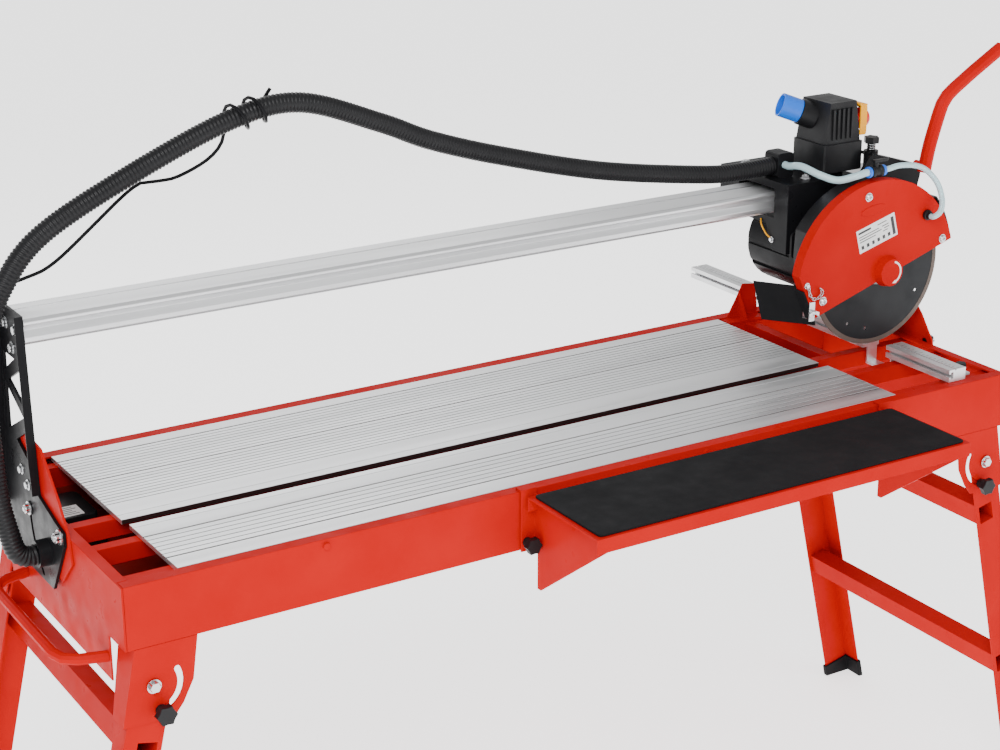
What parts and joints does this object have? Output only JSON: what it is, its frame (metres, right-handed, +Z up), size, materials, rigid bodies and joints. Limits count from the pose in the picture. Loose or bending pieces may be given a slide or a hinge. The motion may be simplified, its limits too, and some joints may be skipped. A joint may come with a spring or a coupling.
{
  "type": "wet tile cutter",
  "caption": "Large wet tile saw: red welded frame on two folding leg frames, ribbed aluminium deck, tilting black bridge with an aluminium rail, sliding plunge saw head and side tray",
  "frame": {"origin": "middle of the footprint, on the floor under the feet", "axes": "+X along the rail towards the parked saw head, +Y to the rear, +Z up"},
  "size_m": [2.0904, 1.023, 1.5306],
  "materials": {
    "red_paint": "gloss",
    "tank_paint": "satin",
    "black_paint": "satin",
    "aluminium": "satin",
    "steel": "satin",
    "dark_steel": "satin",
    "black_plastic": "matte",
    "rubber": "matte",
    "blue_plastic": "gloss",
    "yellow_plastic": "satin",
    "red_plastic": "gloss",
    "hose_plastic": "satin"
  },
  "bodies": {
    "table": {"front_beam": "red_paint", "rear_beam": "red_paint", "left_end_wall": "red_paint", "right_end_wall": "red_paint", "slot_bar_rear": "red_paint", "slot_bar_front": "red_paint", "right_cross_bar": "red_paint", "rear_deck_panel": "aluminium", "front_deck_panel": "aluminium", "water_tank": "tank_paint", "pump": "black_plastic", "pump_hose": "rubber", "left_gusset": "red_paint", "right_gusset": "red_paint", "left_front_leg_bracket": "red_paint", "left_rear_leg_bracket": "red_paint", "right_front_leg_bracket": "red_paint", "right_rear_leg_bracket": "red_paint", "carry_handle": "red_paint"},
    "left_legs": {"left_leg_frame": "red_paint", "left_front_foot": "rubber", "left_rear_foot": "rubber"},
    "right_legs": {"right_leg_frame": "red_paint", "right_front_foot": "rubber", "right_rear_foot": "rubber"},
    "side_tray": {"tray": "red_paint", "tray_mat": "rubber"},
    "tray_clamp": {"tray_knob": "black_plastic"},
    "guide_fence": {"fence": "aluminium"},
    "fence_clamp_front": {"fence_knob_front": "black_plastic"},
    "fence_clamp_rear": {"fence_knob_rear": "black_plastic"},
    "bridge": {"left_column": "black_paint", "right_column": "black_paint", "rail": "aluminium", "support_wire": "black_paint", "conduit": "black_plastic"},
    "carriage": {"carriage_housing": "black_paint", "switch_box": "black_plastic", "power_inlet": "blue_plastic"},
    "flap": {"switch_flap": "yellow_plastic"},
    "stop": {"stop_button": "red_plastic"},
    "head": {"head_arm": "black_paint", "motor_housing": "black_paint", "guard_front": "red_paint", "guard_back": "black_plastic", "splash_plate": "rubber", "pull_handle": "red_paint", "water_hose": "hose_plastic", "hose_valve": "black_plastic"},
    "depth_screw": {"depth_knob": "black_plastic"},
    "spindle": {"blade": "steel", "blade_shaft": "dark_steel"},
    "left_front_lock": {"left_front_leg_knob": "black_plastic"},
    "left_rear_lock": {"left_rear_leg_knob": "black_plastic"},
    "right_front_lock": {"right_front_leg_knob": "black_plastic"},
    "right_rear_lock": {"right_rear_leg_knob": "black_plastic"},
    "front_left_roller": {"roller_front_left": "steel"},
    "front_right_roller": {"roller_front_right": "steel"},
    "rear_left_roller": {"roller_rear_left": "steel"},
    "rear_right_roller": {"roller_rear_right": "steel"}
  },
  "joints": [
    {"name": "bridge_tilt", "type": "hinge", "parent": "table", "child": "bridge", "pos_m": [-0.001, -0.0755, 0.911], "axis": [1, 0, 0], "range_deg": [0, 45]},
    {"name": "head_slide", "type": "slide", "parent": "bridge", "child": "carriage", "axis": [1, 0, 0], "range_m": [-1.25, 0], "deforming": ["conduit"]},
    {"name": "head_plunge", "type": "hinge", "parent": "carriage", "child": "head", "pos_m": [0.589, -0.0255, 1.139], "axis": [0, 1, 0], "range_deg": [0, 18], "deforming": ["water_hose"]},
    {"name": "blade_spin", "type": "hinge", "parent": "head", "child": "spindle", "pos_m": [0.737, -0.0755, 1.0835], "axis": [0, 1, 0], "continuous": true},
    {"name": "depth_knob_turn", "type": "hinge", "parent": "head", "child": "depth_screw", "pos_m": [0.765, -0.0125, 1.303], "axis": [0, 0, 1], "continuous": true},
    {"name": "flap_open", "type": "hinge", "parent": "carriage", "child": "flap", "pos_m": [0.742, 0.0215, 1.381], "axis": [0, -1, 0], "range_deg": [0, 80]},
    {"name": "stop_press", "type": "slide", "parent": "carriage", "child": "stop", "axis": [-1, 0, 0], "range_m": [0, 0.005], "stiffness_N_per_m": 1200},
    {"name": "front_left_roller_turn", "type": "hinge", "parent": "carriage", "child": "front_left_roller", "pos_m": [0.6, 0.02, 1.2105], "axis": [0, 0, 1], "continuous": true},
    {"name": "front_right_roller_turn", "type": "hinge", "parent": "carriage", "child": "front_right_roller", "pos_m": [0.694, 0.02, 1.2105], "axis": [0, 0, 1], "continuous": true},
    {"name": "rear_left_roller_turn", "type": "hinge", "parent": "carriage", "child": "rear_left_roller", "pos_m": [0.6, 0.132, 1.2105], "axis": [0, 0, 1], "continuous": true},
    {"name": "rear_right_roller_turn", "type": "hinge", "parent": "carriage", "child": "rear_right_roller", "pos_m": [0.694, 0.132, 1.2105], "axis": [0, 0, 1], "continuous": true},
    {"name": "left_legs_fold", "type": "hinge", "parent": "table", "child": "left_legs", "pos_m": [-0.836, -0.0125, 0.743], "axis": [0, -1, 0], "range_deg": [0, 103]},
    {"name": "right_legs_fold", "type": "hinge", "parent": "table", "child": "right_legs", "pos_m": [0.836, -0.0125, 0.743], "axis": [0, 1, 0], "range_deg": [0, 103]},
    {"name": "left_front_lock_turn", "type": "hinge", "parent": "left_legs", "child": "left_front_lock", "pos_m": [-0.82706, -0.3055, 0.70094], "axis": [0, 1, 0], "continuous": true},
    {"name": "left_rear_lock_turn", "type": "hinge", "parent": "left_legs", "child": "left_rear_lock", "pos_m": [-0.82706, 0.2825, 0.70094], "axis": [0, 1, 0], "continuous": true},
    {"name": "right_front_lock_turn", "type": "hinge", "parent": "right_legs", "child": "right_front_lock", "pos_m": [0.82706, -0.3055, 0.70094], "axis": [0, 1, 0], "continuous": true},
    {"name": "right_rear_lock_turn", "type": "hinge", "parent": "right_legs", "child": "right_rear_lock", "pos_m": [0.82706, 0.2825, 0.70094], "axis": [0, 1, 0], "continuous": true},
    {"name": "tray_slide", "type": "slide", "parent": "table", "child": "side_tray", "axis": [1, 0, 0], "range_m": [-0.2, 0.1]},
    {"name": "tray_knob_turn", "type": "hinge", "parent": "side_tray", "child": "tray_clamp", "pos_m": [-0.187, -0.3155, 0.824], "axis": [0, 1, 0], "continuous": true},
    {"name": "fence_slide", "type": "slide", "parent": "table", "child": "guide_fence", "axis": [1, 0, 0], "range_m": [-0.025, 0]},
    {"name": "fence_knob_front_turn", "type": "hinge", "parent": "guide_fence", "child": "fence_clamp_front", "pos_m": [0.8, -0.2535, 0.931], "axis": [0, 0, 1], "continuous": true},
    {"name": "fence_knob_rear_turn", "type": "hinge", "parent": "guide_fence", "child": "fence_clamp_rear", "pos_m": [0.8, -0.0035, 0.931], "axis": [0, 0, 1], "continuous": true}
  ],
  "couplings": [
    {"joint": "front_left_roller_turn", "follows": "head_slide", "rad_per_m": -60.606},
    {"joint": "front_right_roller_turn", "follows": "head_slide", "rad_per_m": -60.606},
    {"joint": "rear_left_roller_turn", "follows": "head_slide", "rad_per_m": 60.606},
    {"joint": "rear_right_roller_turn", "follows": "head_slide", "rad_per_m": 60.606}
  ]
}
